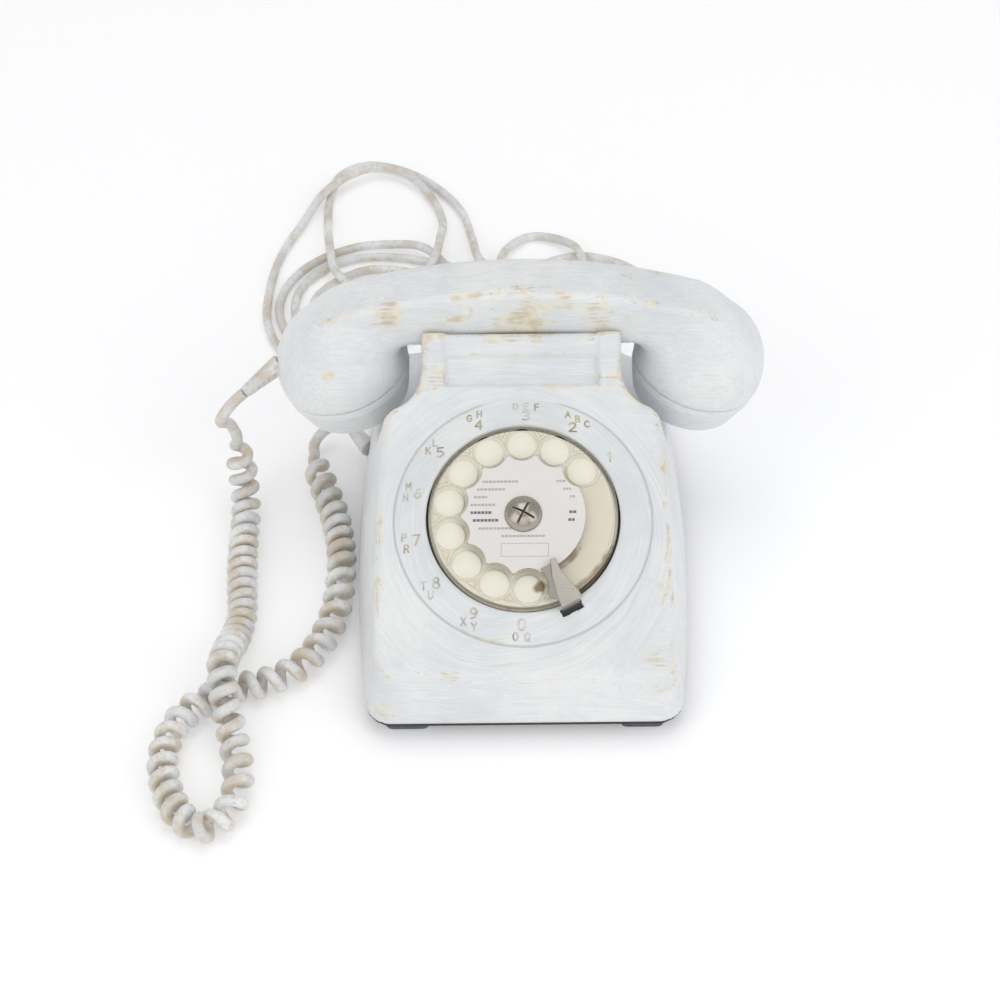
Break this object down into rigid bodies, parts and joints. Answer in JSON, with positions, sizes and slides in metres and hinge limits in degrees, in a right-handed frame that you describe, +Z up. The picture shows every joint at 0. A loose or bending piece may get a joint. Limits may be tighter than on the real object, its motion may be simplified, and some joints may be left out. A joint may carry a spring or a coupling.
{
  "type": "rotary telephone",
  "caption": "Rotary desk telephone with sloping dial face, clear finger wheel, neck cradle, lift-off handset, curly handset cord and long line cord.",
  "frame": {"origin": "on the table, under the middle of the body and handset, cords left out", "axes": "+Z up, -Y towards the user and the dial, +X to the user's right along the handset"},
  "size_m": [0.2824, 0.4566, 0.138],
  "materials": {
    "painted_plastic": "hand-brushed white and pale blue-grey paint over ivory plastic",
    "painted_ring": "hand-brushed pale blue-grey paint",
    "clear_plastic": "clear, slightly yellowed",
    "cream_plastic": "satin cream",
    "card": "matt printed card",
    "nickel": "worn nickel plate",
    "steel": "zinc plated",
    "gong_metal": "plated bell steel",
    "brass": "turned brass",
    "base_steel": "grey painted sheet",
    "rubber": "dark grey moulded rubber",
    "white_plastic": "off-white moulded plastic",
    "phenolic": "brown laminate",
    "copper_winding": "wound and taped",
    "iron": "plain iron core",
    "capacitor_film": "dipped film",
    "cord_plastic": "pale grey flexible plastic, yellowed in places"
  },
  "bodies": {
    "root": {"body_shell": "painted_plastic", "number_ring": "painted_ring", "base_plate": "base_steel", "rubber_feet": "rubber", "base_screws": "steel", "dial_case": "steel", "dial_pan": "cream_plastic", "finger_stop": "nickel", "mainspring": "steel", "dial_bridge": "steel", "governor_cup": "steel", "pulse_contacts": "phenolic", "hook_pin": "steel", "hook_spring": "steel", "hook_contacts": "phenolic", "ringer_frame": "steel", "ringer_coil": "copper_winding", "ringer_magnet": "iron", "gong_left": "gong_metal", "gong_right": "gong_metal", "gong_screws": "steel", "clapper_pin": "steel", "volume_bracket": "steel", "circuit_board": "phenolic", "board_posts": "steel", "induction_coil": "copper_winding", "capacitors": "capacitor_film", "terminal_block": "cream_plastic", "handset_cord_top": "cord_plastic", "handset_cord_coil": "cord_plastic", "handset_cord_tail": "cord_plastic", "body_relief": "cord_plastic", "line_relief": "cord_plastic", "line_cord": "cord_plastic", "line_plug": "cord_plastic", "plug_pins": "brass"},
    "dial": {"finger_wheel": "clear_plastic", "label_card": "card", "dial_screw": "nickel", "main_shaft": "brass", "main_gear": "brass", "pulse_cam": "phenolic"},
    "transfer": {"transfer_arbor": "brass", "transfer_gear": "brass"},
    "governor": {"governor_spindle": "steel"},
    "hook": {"hook_lever": "white_plastic"},
    "clapper": {"clapper": "brass"},
    "volume": {"volume_wheel": "cream_plastic"},
    "handset": {"handset_shell": "painted_plastic", "earpiece_cap": "painted_plastic", "mouthpiece_cap": "painted_plastic", "receiver_capsule": "steel", "transmitter_capsule": "steel", "handset_wires": "cord_plastic", "handset_relief": "cord_plastic"}
  },
  "joints": [
    {"name": "dial_turn", "type": "hinge", "parent": "root", "child": "dial", "pos_m": [0, -0.03356, 0.06851], "axis": [0, 0.4226, -0.9063], "range_deg": [0, 330], "stiffness_Nm_per_rad": 0.004, "springref_deg": -114.59},
    {"name": "transfer_turn", "type": "hinge", "parent": "root", "child": "transfer", "pos_m": [0.025, -0.03356, 0.06851], "axis": [0, 0.4226, -0.9063], "range_deg": [-1000, 10]},
    {"name": "governor_turn", "type": "hinge", "parent": "root", "child": "governor", "pos_m": [0.0376, -0.0249, 0.04993], "axis": [0, 0.9063, 0.4226], "range_deg": [-10, 8000]},
    {"name": "handset_lift", "type": "slide", "parent": "root", "child": "handset", "axis": [0, 0, 1], "range_m": [0, 0.08]},
    {"name": "hook_rise", "type": "hinge", "parent": "root", "child": "hook", "pos_m": [0, 0.066, 0.092], "axis": [-1, 0, 0], "range_deg": [0, 8], "deforming": ["hook_spring"]},
    {"name": "clapper_swing", "type": "hinge", "parent": "root", "child": "clapper", "pos_m": [0, 0.048, 0.027], "axis": [0, 0, 1], "range_deg": [-5, 5], "stiffness_Nm_per_rad": 0.01},
    {"name": "volume_turn", "type": "hinge", "parent": "root", "child": "volume", "pos_m": [0.0425, 0.0405, 0.013], "axis": [1, 0, 0], "range_deg": [-60, 60]}
  ],
  "couplings": [
    {"joint": "transfer_turn", "follows": "dial_turn", "ratio": -3},
    {"joint": "governor_turn", "follows": "dial_turn", "ratio": 24},
    {"joint": "hook_rise", "follows": "handset_lift", "rad_per_m": 1.7235}
  ]
}
